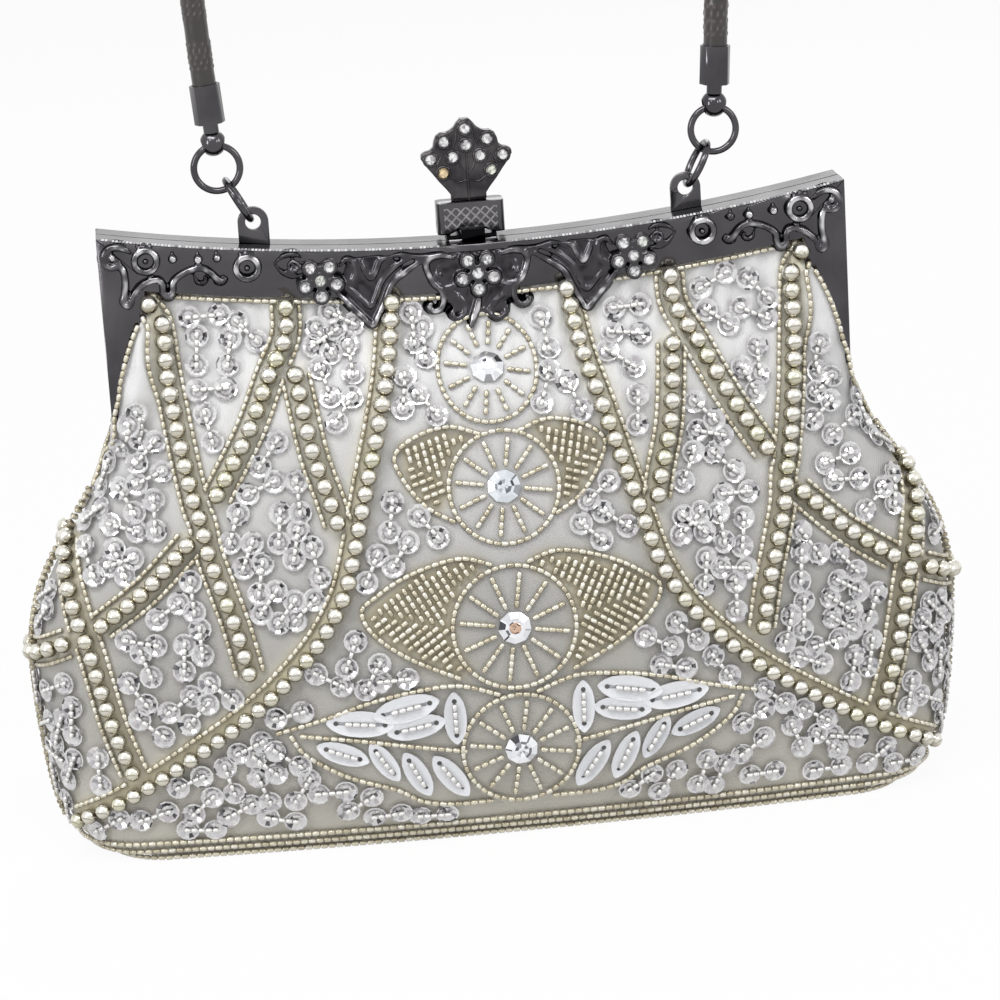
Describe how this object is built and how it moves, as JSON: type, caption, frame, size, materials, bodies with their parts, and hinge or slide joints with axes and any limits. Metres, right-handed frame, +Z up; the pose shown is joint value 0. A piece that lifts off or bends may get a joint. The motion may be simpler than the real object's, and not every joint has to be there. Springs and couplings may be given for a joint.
{
  "type": "kiss lock frame purse",
  "caption": "Beaded evening purse in a hinged black metal frame with a tilting shell clasp and a cord handle on rings.",
  "frame": {"origin": "middle of the base, on the surface that the purse stands on", "axes": "+X to the right as the front is seen, +Y from front to back, +Z up"},
  "size_m": [0.2158, 0.0568, 0.3067],
  "materials": {
    "satin": "pale grey satin sewn with glass beads, pearls and sequins",
    "lining_cloth": "plain champagne lining cloth",
    "board": "grey-brown bag board",
    "paper_cord": "twisted paper cord",
    "black_nickel": "polished black nickel plating",
    "spring_steel": "spring steel strip",
    "stones": "clear cut glass stones with foil backs",
    "pearls": "glass pearls with a silver and champagne coat",
    "cord_leather": "dark brown braided leather-look cord"
  },
  "bodies": {
    "pouch": {"front_panel_lower": "satin", "back_panel_lower": "satin", "base_panel": "satin", "base_stiffener": "board", "front_lining_lower": "lining_cloth", "back_lining_lower": "lining_cloth", "front_pearls_lower": "pearls", "back_pearls_lower": "pearls"},
    "front_half": {"front_frame": "black_nickel", "front_ornament": "black_nickel", "front_ornament_stones": "stones", "front_channel_cord": "paper_cord", "front_panel_upper": "satin", "front_lining_upper": "lining_cloth", "clasp_catch": "black_nickel", "hinge_rivet_left": "black_nickel", "hinge_rivet_right": "black_nickel", "front_pearls_upper": "pearls"},
    "back_half": {"back_frame": "black_nickel", "back_channel_cord": "paper_cord", "back_panel_upper": "satin", "back_lining_upper": "lining_cloth", "handle_eyelet_left": "black_nickel", "handle_eyelet_right": "black_nickel", "clasp_bracket": "black_nickel", "clasp_pin": "black_nickel", "clasp_spring": "spring_steel", "back_pearls_upper": "pearls"},
    "clasp_head": {"clasp_collar": "black_nickel", "clasp_knob": "black_nickel", "clasp_knob_stones": "stones"},
    "eyelet_ring_left": {"eyelet_ring_left": "black_nickel"},
    "eyelet_ring_right": {"eyelet_ring_right": "black_nickel"},
    "handle_rings": {"handle_ring_left": "black_nickel", "handle_ring_right": "black_nickel"},
    "handle": {"ferrule_left": "black_nickel", "ferrule_right": "black_nickel", "handle_cord": "cord_leather"}
  },
  "joints": [
    {"name": "front_open", "type": "hinge", "parent": "pouch", "child": "front_half", "pos_m": [0, 0, 0.091], "axis": [1, 0, 0], "range_deg": [0, 32]},
    {"name": "back_open", "type": "hinge", "parent": "pouch", "child": "back_half", "pos_m": [0, 0, 0.091], "axis": [-1, 0, 0], "range_deg": [0, 32]},
    {"name": "clasp_tilt", "type": "hinge", "parent": "back_half", "child": "clasp_head", "pos_m": [0, 0.0036, 0.1364], "axis": [-1, 0, 0], "range_deg": [0, 18], "stiffness_Nm_per_rad": 0.05, "springref_deg": -11.46, "deforming": ["clasp_spring"]},
    {"name": "ring_left_turn", "type": "hinge", "parent": "back_half", "child": "eyelet_ring_left", "pos_m": [-0.05084, 0.0007, 0.14585], "axis": [0.8746, 0, 0.4848], "range_deg": [-45, 45]},
    {"name": "ring_right_turn", "type": "hinge", "parent": "back_half", "child": "eyelet_ring_right", "pos_m": [0.05084, 0.0007, 0.14585], "axis": [0.8746, 0, -0.4848], "range_deg": [-45, 45]},
    {"name": "handle_fold", "type": "hinge", "parent": "back_half", "child": "handle_rings", "pos_m": [0, 0.0007, 0.1488], "axis": [1, 0, 0], "range_deg": [-60, 60]},
    {"name": "handle_tilt", "type": "hinge", "parent": "handle_rings", "child": "handle", "pos_m": [0, 0.0007, 0.15822], "axis": [1, 0, 0], "range_deg": [-35, 35]}
  ],
  "couplings": [
    {"joint": "back_open", "follows": "front_open", "ratio": 1},
    {"joint": "ring_left_turn", "follows": "handle_fold", "ratio": 0.5},
    {"joint": "ring_right_turn", "follows": "handle_fold", "ratio": 0.5}
  ]
}
